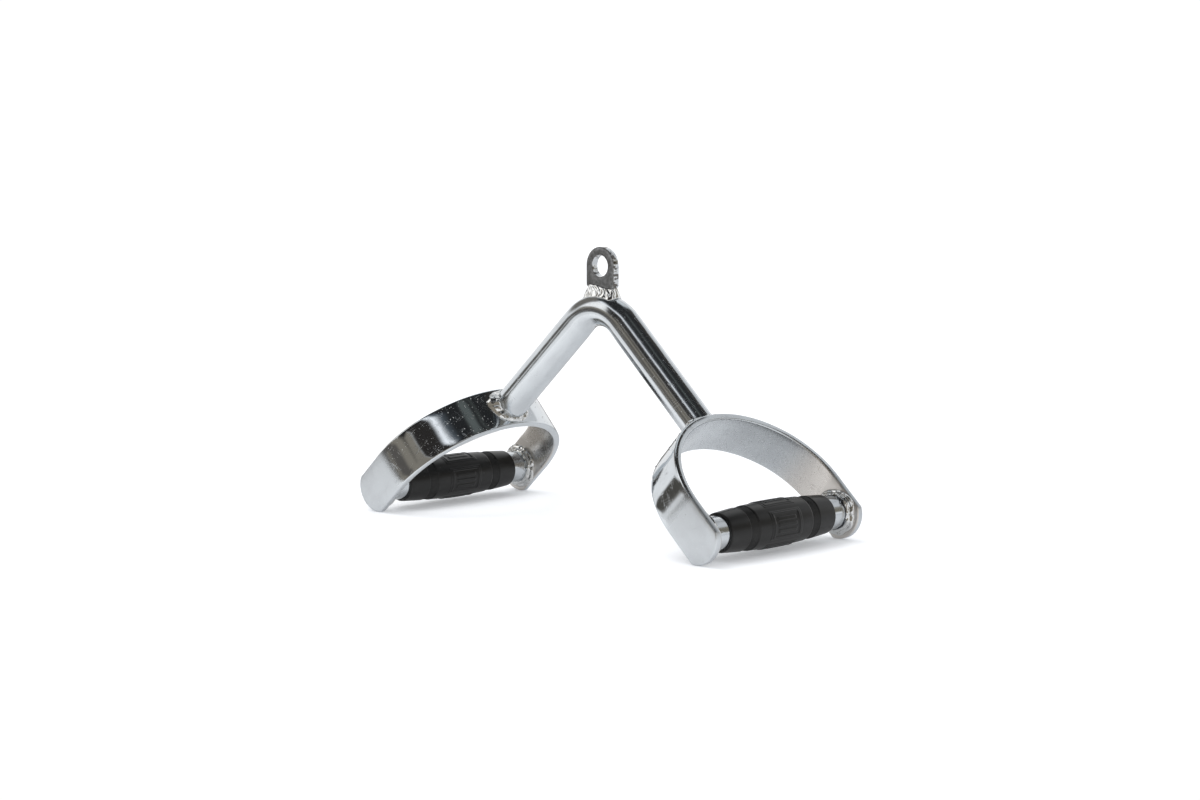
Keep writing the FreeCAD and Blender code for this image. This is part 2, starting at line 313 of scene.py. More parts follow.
def make_strap(side, material):
    """Flat bar with rounded ends, bent to a D: loops of its outline run from one face to the other."""
    half = blank_outline()
    bottom = half[-1]
    right = [(-s, w, (-n[0], n[1])) for s, w, n in reversed(half[1:-1])] + half[:-1]
    left = [(s, -w, (n[0], -n[1])) for s, w, n in reversed(right)]
    loop = right + [(bottom[0], 0.0, (1.0, 0.0))] + left + [(-bottom[0], 0.0, (-1.0, 0.0))]
    rings = [(strap_edge + face_support, 0.0)]
    bevel_steps = 5
    for i in range(bevel_steps + 1):
        turn = math.pi / 2 * i / bevel_steps
        rings.append((strap_edge * (1 - math.sin(turn)), strap_edge * (1 - math.cos(turn))))
    middle = len(rings)
    rings += [(inset, strap_thickness - depth) for inset, depth in reversed(rings[:middle])]

    points = []
    flat = []

    def place(along, across, depth, dent=0.0):
        spot, normal = outer_curve(along)
        bow = strap_bow * (1 + wobble(along, 0, 3 * side, strap_bow_size))
        near_edge = min(1, max(0, 1 - (strap_width / 2 - abs(across)) / edge_roll))
        thinning = edge_thinning * near_edge**2 * (1 - 2 * depth / strap_thickness)
        spot = spot + Vector((across, 0, 0)) - normal * (depth + bow + dent + thinning)
        points.append(own_to_row @ spot)
        flat.append((along, across, depth))

    for inset, depth in rings:
        for along, across, normal in loop:
            worn = inset + strap_wear * (1 + wobble(along, across, 5 * side, strap_wear_size))
            place(along - normal[0] * worn, across - normal[1] * worn, depth)
    size = len(loop)
    faces = turned_round(grid_faces(len(rings), size, wrap_columns=True))
    across_steps = 17
    half_size = len(right)
    for ring_index, outward in ((0, True), (len(rings) - 1, False)):
        inset, depth = rings[ring_index]
        rows = []
        for k in range(half_size):
            along, across, normal = loop[k]
            along -= normal[0] * inset
            across -= normal[1] * inset
            row = [ring_index * size + k]
            for m in range(1, across_steps):
                row.append(len(points))
                beside = across * (1 - 2 * m / across_steps)
                dent = strap_dent * wobble(along, beside, 7 * side, strap_dent_size)
                place(along, beside, depth, dent if outward else -dent)
            mate = size - 2 - k
            row.append(ring_index * size + mate)
            rows.append(row)
        sheet = []
        for a, b in zip(rows, rows[1:]):
            sheet += [(a[m], b[m], b[m + 1], a[m + 1]) for m in range(across_steps)]
        far = ring_index * size + half_size
        near = ring_index * size + size - 1
        sheet += [(far, rows[-1][m + 1], rows[-1][m]) for m in range(across_steps)]
        sheet += [(near, rows[0][m], rows[0][m + 1]) for m in range(across_steps)]
        faces += sheet if outward else turned_round(sheet)
    add_piece("strap", "forged", points, faces, flat, material, side)


# Cable eye

face_ring_shares = (0.04, 0.3, 0.6, 0.96)  # of the way from the hole's edge to the outline
eye_dent = 0.05 * mm
eye_dent_size = 5 * mm


def eye_reach(angle, inset):
    """Distance from the hole's centre to the plate's outline in a direction, less an inset."""
    across = max(abs(math.cos(angle)), 1e-6)
    if math.sin(angle) >= 0:
        return eye_half - inset
    down = max(-math.sin(angle), 1e-6)
    foot = eye_half - eye_bevel
    bottom = hole_z - eye_low.z
    shoulders = min(
        (eye_half - inset) / across,
        (eye_half + eye_side - math.sqrt(2) * inset) / (across + down),
        (eye_side + eye_bevel) / down,
    )
    return max(shoulders, min((foot - inset) / across, bottom / down))


def make_eye(material):
    """Plate with a rounded outline and a bevelled hole: rings run from the hole round both faces."""
    columns = 288
    rings = []
    bevel_steps = 4
    half = eye_thickness / 2
    turns = [math.pi / 2 * i / bevel_steps for i in range(bevel_steps + 1)]
    for sign in (-1, 1):
        hole_rings = []
        edge_rings = []
        for turn in turns:
            low = 1 - math.sin(turn)
            high = 1 - math.cos(turn)
            hole_rings.append(("hole", hole_edge * high, sign * (half - hole_edge * low)))
            edge_rings.append(("edge", eye_edge * low, sign * (half - eye_edge * high)))
        face_rings = [("face", share, sign * half) for share in face_ring_shares]
        part = hole_rings + face_rings + edge_rings
        rings += part if sign < 0 else list(reversed(part))
    points = []
    flat = []
    for kind, size, depth in rings:
        for j in range(columns):
            angle = 2 * math.pi * (j + 0.5) / columns
            inner = hole_radius + hole_edge
            if kind == "hole":
                reach = hole_radius + size
            elif kind == "edge":
                reach = eye_reach(angle, size)
            else:
                reach = inner + (eye_reach(angle, eye_edge) - inner) * size
            x = reach * math.cos(angle)
            z = hole_z + reach * math.sin(angle)
            dent = eye_dent * (1 + wobble(x, depth * 3, z, eye_dent_size)) if kind == "face" else 0
            points.append(Vector((x, depth - math.copysign(dent, depth), z)))
            flat.append((z, x, depth))
    faces = turned_round(grid_faces(len(rings), columns, wrap_rows=True, wrap_columns=True))
    add_piece("cable_eye", "plate", points, faces, flat, material)


# Grip tubes

grip_step = 0.7 * mm  # from one ring of points to the next
grip_dent = 0.02 * mm
grip_dent_size = 9 * mm


def grip_point(radius, turn, y):
    """Point round the right-hand grip's axis."""
    return Vector((grip_x + radius * math.cos(turn), y, grip_z + radius * math.sin(turn)))


def make_grip_tube(side, material):
    """Thick tube between the ears, very slightly uneven."""
    columns = 96
    count = round(2 * grip_half / grip_step)
    points = []
    flat = []
    for inside in (False, True):
        for i in range(count + 1):
            y = grip_half * (2 * i / count - 1) * (-1 if inside else 1)
            for j in range(columns):
                angle = 2 * math.pi * j / columns
                radius = grip_radius - (grip_wall if inside else 0)
                radius -= grip_dent * (1 + wobble(y, angle * round_arm, 3 * side, grip_dent_size))
                points.append(grip_point(radius, angle, y))
                flat.append((y, grip_radius * math.cos(angle), grip_radius * math.sin(angle)))
    faces = turned_round(grid_faces(2 * (count + 1), columns, wrap_rows=True, wrap_columns=True))
    add_piece("grip_tube", "drawn", points, faces, flat, material, side)


# Rubber sleeves

band_place = 33.75 * mm
band_width = 8.5 * mm
band_depth = 0.4 * mm
knurl_depth = 0.22 * mm
knurl_count = 76  # crossing grooves round the sleeve
knurl_lean_share = 0.62  # of the radius: the way along the sleeve in which a groove turns by one radian
plateau_length = 33 * mm
plateau_height = 20.4 * mm
plateau_relief = 0.25 * mm
panel_length = 29 * mm
panel_height = 18 * mm
panel_rim = 1.2 * mm
panel_relief = 0.35 * mm
panel_start = math.radians(6)
panel_count = 4
panel_reach = 0.8  # radians from a panel's middle to well past its rim
panel_field_drop = 0.12 * mm
rib_count = 3
rib_length = 20 * mm
rib_height = 2.4 * mm
rib_pitch = 4.4 * mm
rib_relief_share = 0.9  # of the rim's relief
relief_edge = 0.35 * mm
end_round = 1.0 * mm
sleeve_bite = 0.05 * mm  # how much narrower than its tube the sleeve's bore is
sleeve_dent = 0.04 * mm
sleeve_dent_size = 16 * mm
sleeve_arm = 6 * mm  # turns an angle round the sleeve into a length for the noise


def slab(value, half):
    """1 well inside a half width and 0 outside it, with a soft edge."""
    return 1 - smooth_step(abs(value), half - relief_edge / 2, half + relief_edge / 2)


def panel_height_map(y, turn, radius):
    """Relief of the nearest panel: a low plateau with a raised rim, a sunk field and raised ribs."""
    pitch = 2 * math.pi / panel_count
    off = (turn - panel_start + pitch / 2) % pitch - pitch / 2
    z = radius * math.sin(off)
    if abs(off) > panel_reach or abs(y) > plateau_length / 2 + relief_edge:
        return 0.0
    plateau = slab(y, plateau_length / 2) * slab(z, plateau_height / 2)
    whole = slab(y, panel_length / 2) * slab(z, panel_height / 2)
    field = slab(y, panel_length / 2 - panel_rim) * slab(z, panel_height / 2 - panel_rim)
    ribs = 0.0
    for i in range(rib_count):
        rib_z = (i - (rib_count - 1) / 2) * rib_pitch
        ribs = max(ribs, slab(y, rib_length / 2) * slab(z - rib_z, rib_height / 2))
    raised = plateau_relief * plateau + panel_relief * (whole - field + rib_relief_share * ribs)
    return raised - panel_field_drop * (field - ribs)


def knurl(y, turn, radius):
    """Two sets of crossing diagonal grooves round a band."""
    slope = 1 / (knurl_lean_share * radius)
    depth = 0.0
    for sign in (-1, 1):
        phase = knurl_count * (turn + sign * slope * y) / (2 * math.pi)
        depth += (0.5 + 0.5 * math.cos(2 * math.pi * phase)) ** 2
    return knurl_depth * min(1, depth)


def sleeve_rows():
    """Places along the sleeve, close together where its relief is fine."""
    fine = 0.28 * mm
    coarse = 1.1 * mm
    beside_band = 1 * mm
    inside_panel = 2 * mm
    beside_plateau = 0.6 * mm
    beside_rib_end = 0.8 * mm
    rows = []
    y = 0.0
    while y < sleeve_half - end_round:
        rows.append(y)
        in_band = abs(y - band_place) < band_width / 2 + beside_band
        at_rim = panel_length / 2 - inside_panel < y < plateau_length / 2 + beside_plateau
        at_rib_end = abs(y - rib_length / 2) < beside_rib_end
        y += fine if in_band or at_rim or at_rib_end else coarse
    return [-y for y in reversed(rows[1:])] + rows


def make_sleeve(side, material):
    """Moulded rubber sleeve: barrel profile, knurled bands, raised panels and rounded ends."""
    columns = 456
    end = grip_radius + end_wall
    middle = grip_radius + middle_wall
    swell = middle - end
    arc_radius = (sleeve_half**2 + swell**2) / (2 * swell)

    def barrel(y):
        return middle - arc_radius + math.sqrt(arc_radius**2 - y**2)

    stations = [(y, 0.0) for y in sleeve_rows()]
    round_steps = 6
    caps = []
    for i in range(round_steps + 1):
        turn = math.pi / 2 * i / round_steps
        caps.append((sleeve_half - end_round * (1 - math.sin(turn)), end_round * (1 - math.cos(turn))))
    stations = [(-y, drop) for y, drop in reversed(caps)] + stations + caps
    rings = [(-sleeve_half, None)] + stations + [(sleeve_half, None)]
    points = []
    flat = []
    for y, drop in rings:
        for j in range(columns):
            turn = 2 * math.pi * j / columns
            if drop is None:
                radius = grip_radius - sleeve_bite
            else:
                radius = barrel(y) - drop
                near_band = slab(abs(y) - band_place, band_width / 2)
                if near_band > 0:
                    radius -= near_band * (band_depth + knurl(y, turn, radius))
                radius += panel_height_map(y, turn, radius)
                radius -= sleeve_dent * (1 + wobble(y, turn * sleeve_arm, 9 * side, sleeve_dent_size))
            points.append(grip_point(radius, turn, y))
            flat.append((y, middle * math.cos(turn), middle * math.sin(turn)))
    faces = turned_round(grid_faces(len(rings), columns, wrap_rows=True, wrap_columns=True))
    add_piece("rubber_sleeve", "moulded", points, faces, flat, material, side)


# Weld beads

toe_sink = 0.05 * mm  # of a lower toe into what it lies on
root_inset = 1.2 * mm  # of a hidden root into the tube
root_sink = 1 * mm
bead_stock = 6 * mm  # breadth of every bead on its unbent stock
swelling_size = 7 * mm
swelling_share = 0.6
drift_size = 6 * mm
lump_size = 5 * mm
grit_size = 1.5 * mm
ridge_bow = 0.45  # pitches by which a ridge bows along the bead
ridge_drift = 0.45  # and by which it strays


def ripple(phase):
    """Rounded ridge with a crease at each end, about as much above zero as below it."""
    roundness = 0.6
    mean_height = 0.65
    return abs(math.sin(math.pi * phase)) ** roundness - mean_height


def weave_bead(stations, seed, pitch, height, bulge, slant, lump, passes=1, grit=0.03 * mm):
    """Closed bead, with its points and faces. Each station is (upper toe, lower toe, hidden root).

    Ridges with a pitch, a height and a slant cross the bead. It bulges by a share of its breadth,
    in one pass or in two side by side, and has lumps and grit of given heights.
    """
    across = 16
    steps = [(here[1] - before[1]).length for before, here in zip([stations[-1]] + stations, stations)]
    length = sum(steps)
    pitch = length / round(length / pitch)
    points = []
    flat = []
    travelled = 0.0
    for step, (upper, lower, root) in zip(steps, stations):
        travelled += step
        outward = ((upper + lower) / 2 - root).normalized()
        lumps = 1 + swelling_share * wobble(lower.x + seed, lower.y, lower.z, swelling_size)
        swelling = bulge * (upper - lower).length * lumps
        for k in range(across + 1):
            share = k / across
            arch = 4 * share * (1 - share)
            spot = upper.lerp(lower, share)
            drift = wobble(spot.x, spot.y + seed, spot.z, drift_size)
            phase = travelled / pitch - ridge_bow * arch - slant * share + ridge_drift * drift
            lift = swelling * (arch if passes == 1 else abs(math.sin(passes * math.pi * share)))
            off_toe = math.sqrt(arch)
            lift += height * ripple(phase) * (1 + drift) * off_toe
            lift += lump * wobble(spot.x, spot.y, spot.z + seed, lump_size) * off_toe
            lift += grit * wobble(spot.x + seed, spot.y, spot.z, grit_size) * off_toe
            points.append(spot + outward * lift)
            flat.append((travelled, share * bead_stock, seed * mm))
        points.append(root)
        flat.append((travelled, 0, seed * mm))
    return points, grid_faces(len(stations), across + 2, wrap_rows=True, wrap_columns=True), flat


def add_spatter(points, faces, flat, spots):
    """Small half-sunk drops of weld metal at given places, each with its radius."""
    rings = 4
    sides = 8
    for centre, radius in spots:
        start = len(points)
        for i in range(1, rings):
            turn = math.pi * i / rings
            wide = math.sin(turn)
            for j in range(sides):
                angle = 2 * math.pi * j / sides
                offset = Vector((wide * math.cos(angle), wide * math.sin(angle), math.cos(turn)))
                points.append(centre + offset * radius)
                flat.append(tuple(centre))
        points += [centre + Vector((0, 0, radius)), centre - Vector((0, 0, radius))]
        flat += [tuple(centre)] * 2
        top = len(points) - 2
        last = start + (rings - 2) * sides
        for i in range(rings - 2):
            for j in range(sides):
                a = start + i * sides + j
                b = start + i * sides + (j + 1) % sides
                faces.append((a, a + sides, b + sides, b))
        for j in range(sides):
            after = (j + 1) % sides
            faces.append((top, start + j, start + after))
            faces.append((top + 1, last + after, last + j))


def bend_surface_z(x, y):
    """Height of the tube's surface over a place near the middle of the bend."""
    reach = bend_radius + math.sqrt(tube_radius**2 - y**2)
    return bend_centre_z + math.sqrt(reach**2 - x**2)


def make_eye_weld(material):
    """Bead round the plate's foot, from the plate down to the bend. It sinks towards the right."""
    top_z = hole_z - eye_side - 0.3 * mm
    end_x = eye_half - 2.9 * mm
    shift = 0.7 * mm
    side_y = eye_thickness / 2
    corner = 1.4 * mm
    plate_inset = 1.5 * mm
    breadth = 4.2 * mm
    breadth_wobble = 0.16
    breadth_size = 5 * mm
    left_widening = 0.3
    right_narrowing = 0.7  # taken off the left end's widening
    left_rise = 1.5
    fall = 3.0
    rise_wobble = 0.4 * mm
    rise_size = 4 * mm
    step = 0.35 * mm
    straight = round(2 * end_x / step)
    path = [(end_x * (2 * i / straight - 1), -side_y, 0.0, -1.0) for i in range(straight)]
    turn_steps = 22
    for i in range(turn_steps):
        turn = math.pi * i / turn_steps - math.pi / 2
        nx = math.cos(turn)
        ny = math.sin(turn)
        path.append((end_x + corner * nx, side_y * ny, nx, ny))
    path += [(-x, -y, -nx, -ny) for x, y, nx, ny in path]
    path = [(x + shift, y, nx, ny) for x, y, nx, ny in path]
    stations = []
    for x, y, nx, ny in path:
        to_right = smooth_step(x, -end_x, end_x)
        at_end = 1 + abs(nx) * (left_widening - right_narrowing * to_right)
        spread = breadth * (1 + breadth_wobble * wobble(x, y, 1, breadth_size)) * at_end
        rise = (left_rise - fall * to_right) * (1 - abs(nx)) * mm
        rise += rise_wobble * wobble(x, y, 2, rise_size)
        foot_x = x + nx * spread
        foot_y = y + ny * spread
        upper = Vector((x, y, top_z + rise))
        lower = Vector((foot_x, foot_y, bend_surface_z(foot_x, foot_y) - toe_sink))
        root = Vector((x - nx * plate_inset, y - ny * plate_inset, bend_surface_z(x, y) - root_sink))
        stations.append((upper, lower, root))
    points, faces, flat = weave_bead(
        stations, seed=3.1, pitch=5.2 * mm, height=0.65 * mm, bulge=0.02, slant=0.9, lump=0.3 * mm,
    )
    add_piece("eye_weld", "bead", points, faces, flat, material)


def spatter_spots(side):
    """Places and radii of the drops round a leg weld: two of three lie before it, one behind."""
    count = 60
    first = 7 * mm
    spacing = 0.55 * mm
    scatter = 3 * mm
    wide_share = 0.42  # of the strap's width, for two swings across it
    narrow_share = 0.12
    edge_gap = 2 * mm
    sink = 0.12 * mm
    least_radius = 0.24 * mm
    radius_step = 0.05 * mm
    radius_count = 6
    edge = strap_width / 2 - edge_gap
    spots = []
    for i in range(count):
        reach = tube_radius + first + spacing * i + scatter * math.sin(5.1 * i)
        x = strap_width * (wide_share * math.sin(2.3 * i + side) - narrow_share * math.cos(1.3 * i))
        x = max(-edge, min(edge, x))
        y = reach * (-1 if i % 3 else 1)
        radius = least_radius + radius_step * (i * 7 % radius_count)
        spots.append((own_to_row @ Vector((x, y, crown_height(y) - sink)), radius))
    return spots


def make_leg_weld(side, material):
    """Bead round a leg's foot on the crown, broadest before and behind it, with a lump in front."""
    count = 330
    lump_turn = math.radians(292)
    lump_width = 0.42
    side_spread = 3.0 * mm
    broad_spread = 2.6 * mm
    lump_spread = 2.6 * mm
    side_rise = 2.2 * mm
    broad_rise = 2.4 * mm
    lump_rise = 2.6 * mm
    spread_wobble = 0.2
    rise_wobble = 0.22
    edge = strap_width / 2 - 1.3 * mm
    inside = tube_radius - root_inset
    stations = []
    for i in range(count):
        angle = 2 * math.pi * i / count
        right = math.cos(angle)
        back = math.sin(angle)
        broad = back**2
        blob = math.exp(-(((angle - lump_turn) / lump_width) ** 2))
        spread = side_spread + broad_spread * broad + lump_spread * blob
        spread *= 1 + spread_wobble * wobble(right, back, 4 * side, 0.5)
        rise = side_rise + broad_rise * broad + lump_rise * blob
        rise *= 1 + rise_wobble * wobble(right, back, 7 * side, 0.4)
        y = tube_radius * back
        foot_x = max(-edge, min(edge, (tube_radius + spread) * right))
        foot_y = (tube_radius + spread) * back
        upper = Vector((tube_radius * right, y, crown_height(y) + rise))
        lower = Vector((foot_x, foot_y, crown_height(foot_y) - toe_sink))
        root = Vector((inside * right, inside * back, crown_height(inside * back) - root_sink))
        stations.append(tuple(own_to_row @ spot for spot in (upper, lower, root)))
    points, faces, flat = weave_bead(
        stations, seed=5.3 + side, pitch=6.4 * mm, height=0.3 * mm, bulge=0.12, slant=0.3,
        lump=1.6 * mm, grit=0.30 * mm,
    )
    add_spatter(points, faces, flat, spatter_spots(side))
    add_piece("leg_weld", "bead", points, faces, flat, material, side)


def make_grip_weld(side, end, material):
    """Bead round a grip tube against an ear: end is -1 at the front and 1 at the rear."""
    count = 300
    breadth = 5.0 * mm
    unevenness = 0.3
    inside = grip_radius - root_inset
    centre = Vector((grip_x, 0, grip_z))
    stations = []
    for i in range(count):
        angle = 2 * math.pi * i / count * end
        right = math.cos(angle)
        up = math.sin(angle)
        spread = breadth * (1 + unevenness * wobble(right, up, 3 * side + end, 0.55))
        rise = breadth * (1 + unevenness * wobble(right, up, 5 * side + 2 * end, 0.5))
        outer = grip_radius + spread
        upper = Vector((grip_radius * right, end * (grip_half - rise), grip_radius * up))
        lower = Vector((outer * right, end * (grip_half + toe_sink), outer * up))
        root = Vector((inside * right, end * (grip_half + root_sink), inside * up))
        stations.append(tuple(centre + spot for spot in (upper, lower, root)))
    points, faces, flat = weave_bead(
        stations, seed=8.2 + 2 * side + end, pitch=7.5 * mm, height=0.3 * mm, bulge=0.13, slant=0.4,
        lump=0.9 * mm, passes=2,
    )
    node = ("front" if end < 0 else "rear") + "_grip_weld"
    add_piece(node, "bead", points, faces, flat, material, side)


# Materials

satin_span = (106 * mm, 124 * mm)  # along a bar from the crown's middle
# Span along a bar from the crown's middle where a painted brownish reflection warms the inner face.
warm_reflection_span = (72 * mm, 104 * mm)
inner_face_span = (strap_thickness - 1.5 * mm, strap_thickness - 0.5 * mm)
cut_edge_span = (eye_thickness / 2 - 0.05 * mm, eye_thickness / 2 - 0.4 * mm)
fold_shade_span = (0.1 * mm, 0.7 * mm)  # across a bead from its upper toe, over which shade is painted in the fold
matt_edge = 0.6 * mm  # over which the knurled bands turn matt
bright_plate = (0.665, 0.700, 0.730, 1)
cloudy_bar = (0.620, 0.650, 0.680, 1)
cloudy_tube = (0.610, 0.640, 0.670, 1)
warm_reflection_plate = (0.690, 0.660, 0.630, 1)
# Near-white colour of the bar's bright dots: painted glints.
painted_glint_colour = (0.97, 0.98, 0.99, 1)
pit_colour = (0.10, 0.09, 0.08, 1)
pit_share = 0.8  # of a pit's colour over the plating's


def start_material(name, metallic=0.0):
    material = bpy.data.materials.new(name)
    material.use_nodes = True
    tree = material.node_tree
    shader = tree.nodes["Principled BSDF"]
    shader.inputs["Metallic"].default_value = metallic
    return material, tree, shader


def add(tree, kind, sockets=None, **settings):
    """New node. Its sockets take a value or the output of another node."""
    node = tree.nodes.new("ShaderNode" + kind)
    for key, value in settings.items():
        setattr(node, key, value)
    for key, value in (sockets or {}).items():
        if isinstance(value, bpy.types.NodeSocket):
            tree.links.new(value, node.inputs[key])
        else:
            node.inputs[key].default_value = value
    return node


def math_node(tree, operation, *values):
    return add(tree, "Math", dict(enumerate(values)), operation=operation).outputs[0]


def times(tree, first, second):
    return math_node(tree, "MULTIPLY", first, second)


def larger(tree, first, second):
    return math_node(tree, "MAXIMUM", first, second)


def span(tree, value, low, high, out_low=0.0, out_high=1.0):
    """Smoothly maps a value from one span to another and holds it at the ends."""
    sockets = {"Value": value, "From Min": low, "From Max": high, "To Min": out_low, "To Max": out_high}
    return add(tree, "MapRange", sockets, interpolation_type="SMOOTHSTEP").outputs["Result"]


def stock_place(tree, along=1, across=1, depth=1):
    """Place on the unbent stock, stretched by a scale along, across and through it."""
    place = add(tree, "Attribute", attribute_name="flat").outputs["Vector"]
    return add(tree, "VectorMath", {0: place, 1: (along, across, depth)}, operation="MULTIPLY").outputs[0]


def axes(tree, place):
    """The three coordinates of a place."""
    return add(tree, "SeparateXYZ", {0: place}).outputs


def noise_at(tree, place, scale=1.0, detail=3.0, rough=0.55):
    """Noise from 0 to 1."""
    sockets = {"Vector": place, "Scale": scale, "Detail": detail, "Roughness": rough}
    return add(tree, "TexNoise", sockets).outputs["Fac"]


def grain(tree, along, across=None, depth=None, detail=3.0, rough=0.55):
    """Noise on the unbent stock, with bumps to the metre along, across and through it."""
    across = across or along
    return noise_at(tree, stock_place(tree, along, across, depth or across), detail=detail, rough=rough)


def blend(tree, share, first, second):
    """The first colour where the share is 0, the second where it is 1."""
    node = add(tree, "Mix", data_type="RGBA")
    for socket, value in ((node.inputs[0], share), (node.inputs[6], first), (node.inputs[7], second)):
        if isinstance(value, bpy.types.NodeSocket):
            tree.links.new(value, socket)
        else:
            socket.default_value = value
    return node.outputs[2]


def set_surface(tree, shader, colour, rough, rougher, bumps):
    """Colour, roughness and bumps of a material.

    rougher lists shares with what each adds to the roughness, and bumps lists heights with
    their strengths and their depths in millimetres.
    """
    for share, amount in rougher:
        rough = math_node(tree, "MULTIPLY_ADD", share, amount, rough)
    normal = None
    for height, strength, depth in bumps:
        sockets = {"Height": height, "Strength": strength, "Distance": depth * mm}
        if normal is not None:
            sockets["Normal"] = normal
        normal = add(tree, "Bump", sockets).outputs["Normal"]
    for name, value in (("Base Color", colour), ("Roughness", rough), ("Normal", normal)):
        tree.links.new(value, shader.inputs[name])


def hairlines(tree, turn, crowd):
    """Thin broken scratches at an angle to the stock, crowd to the metre."""
    size = (1 / 8, 1 / crowd, 1 / 60)
    line_width = 0.006
    sockets = {"Vector": stock_place(tree), "Rotation": (0, 0, math.radians(turn)), "Scale": size}
    turned = add(tree, "Mapping", sockets, vector_type="TEXTURE").outputs[0]
    off_line = math_node(tree, "SUBTRACT", noise_at(tree, turned, detail=1), 0.5)
    line = span(tree, math_node(tree, "ABSOLUTE", off_line), 0.0, line_width, 0.9, 0.0)
    broken = span(tree, grain(tree, 110, detail=2), 0.48, 0.60)
    return times(tree, line, broken)


def dots(tree, crowd, size, share):
    """Scattered round spots: crowd cells to the metre, of which a share holds a spot."""
    cells = add(tree, "TexVoronoi", {"Vector": stock_place(tree), "Scale": crowd})
    spot = span(tree, cells.outputs["Distance"], size * 0.5, size, 1.0, 0.0)
    chosen = axes(tree, cells.outputs["Color"])["X"]
    return times(tree, spot, math_node(tree, "LESS_THAN", chosen, share))


def plated_bar():
    """Bright plating on flat bar: a mirror over the crown, satin inside and at the ears.

    Inside the ears its colour is warmer in tone: a painted brownish reflection.
    """
    material, tree, shader = start_material("plated_bar", metallic=1)
    place = axes(tree, stock_place(tree))
    reach = math_node(tree, "ABSOLUTE", place["X"])
    inner_face = span(tree, place["Z"], *inner_face_span)
    near_ear = span(tree, reach, *satin_span)
    satin = larger(tree, near_ear, times(tree, inner_face, 0.8))
    # Painted reflection: the inner face near the ears is tinted warmer, brownish.
    warm_reflection = times(tree, inner_face, span(tree, reach, *warm_reflection_span))
    rolling = grain(tree, 22, 700, detail=4)
    mottle = grain(tree, 260, detail=5, rough=0.65)
    grit = grain(tree, 1500, detail=2)
    cloud = span(tree, grain(tree, 45), 0.4, 0.65)
    scratches = larger(tree, hairlines(tree, 17, 420), hairlines(tree, -68, 330))
    clusters = span(tree, grain(tree, 60, detail=2), 0.42, 0.56)
    bright_dots = larger(tree, dots(tree, 420, 0.14, 0.30), dots(tree, 850, 0.22, 0.14))
    bright_dots = times(tree, bright_dots, clusters)
    pits = times(tree, dots(tree, 210, 0.09, 0.10), pit_share)
    colour = blend(tree, cloud, bright_plate, cloudy_bar)
    colour = blend(tree, warm_reflection, colour, warm_reflection_plate)
    # The bright dots are small bumps coloured near white: painted glints.
    colour = blend(tree, bright_dots, colour, painted_glint_colour)
    colour = blend(tree, pits, colour, pit_colour)
    set_surface(tree, shader, colour, 0.045, (
        (satin, 0.25),
        (mottle, 0.05),
        (scratches, 0.40),
        (bright_dots, 0.75),
    ), (
        (rolling, 0.16, 0.05),
        (mottle, 0.07, 0.10),
        (scratches, 0.35, 0.05),
        (bright_dots, 0.25, 0.08),
        (grit, 0.06, 0.02),
    ))
    return material


def plated_tube():
    """Bright plating on drawn tube: long fine streaks and a little mottling."""
    material, tree, shader = start_material("plated_tube", metallic=1)
    streak = grain(tree, 14, 900, detail=4)
    mottle = grain(tree, 120, 260, detail=5, rough=0.62)
    cloud = span(tree, grain(tree, 30, 60), 0.4, 0.65)
    scratches = larger(tree, hairlines(tree, 9, 480), hairlines(tree, 81, 300))
    bright_dots = dots(tree, 300, 0.13, 0.14)
    pits = times(tree, dots(tree, 190, 0.09, 0.08), pit_share)
    colour = blend(tree, cloud, bright_plate, cloudy_tube)
    colour = blend(tree, pits, colour, pit_colour)
    set_surface(tree, shader, colour, 0.09, (
        (mottle, 0.11),
        (scratches, 0.2),
        (bright_dots, 0.5),
    ), (
        (streak, 0.14, 0.05),
        (mottle, 0.12, 0.10),
        (scratches, 0.25, 0.05),
        (bright_dots, 0.5, 0.10),
    ))
    return material


def plated_eye():
    """Plating on the eye: dull on its faces, bright and blotched on its cut edges."""
    material, tree, shader = start_material("plated_eye", metallic=1)
    off_middle = math_node(tree, "ABSOLUTE", axes(tree, stock_place(tree))["Z"])
    cut_edge = span(tree, off_middle, *cut_edge_span)
    mottle = grain(tree, 420, detail=5, rough=0.7)
    grit = grain(tree, 1700, detail=2)
    specks = dots(tree, 520, 0.2, 0.25)
    cloud = span(tree, mottle, 0.38, 0.66)
    blotch = span(tree, grain(tree, 300, 300, 110), 0.53, 0.60)
    torn = times(tree, grain(tree, 330, 330, 120, detail=2), cut_edge)
    dull = blend(tree, cloud, (0.19, 0.19, 0.193, 1), (0.31, 0.315, 0.32, 1))
    dull = blend(tree, span(tree, grit, 0.62, 0.75), dull, (0.15, 0.145, 0.14, 1))
    bright = blend(tree, blotch, (0.74, 0.76, 0.78, 1), (0.17, 0.16, 0.15, 1))
    colour = blend(tree, cut_edge, dull, bright)
    set_surface(tree, shader, colour, 0.27, (
        (cut_edge, -0.13),
        (mottle, 0.05),
    ), (
        (mottle, 0.25, 0.15),
        (grit, 0.2, 0.04),
        (specks, 0.6, 0.12),
        (torn, 0.7, 0.9),
    ))
    return material


def plated_weld():
    """Plated weld metal: bright, smutty in patches, with painted shade in the fold along its upper toe.
    """
    material, tree, shader = start_material("plated_weld", metallic=1)
    place = add(tree, "TexCoord").outputs["Object"]
    lumps = noise_at(tree, place, scale=420, detail=4)
    grit = noise_at(tree, place, scale=1900, detail=3)
    smut = span(tree, lumps, 0.55, 0.75)
    fold_shade = span(tree, axes(tree, stock_place(tree))["Y"], *fold_shade_span, 1, 0)
    colour = blend(tree, smut, (0.74, 0.75, 0.75, 1), (0.34, 0.325, 0.30, 1))
    # Painted shade: the fold along the upper toe is coloured dark.
    colour = blend(tree, fold_shade, colour, (0.10, 0.10, 0.11, 1))
    set_surface(tree, shader, colour, 0.09, ((smut, 0.16),), ((lumps, 0.15, 0.25), (grit, 0.10, 0.04)))
    return material


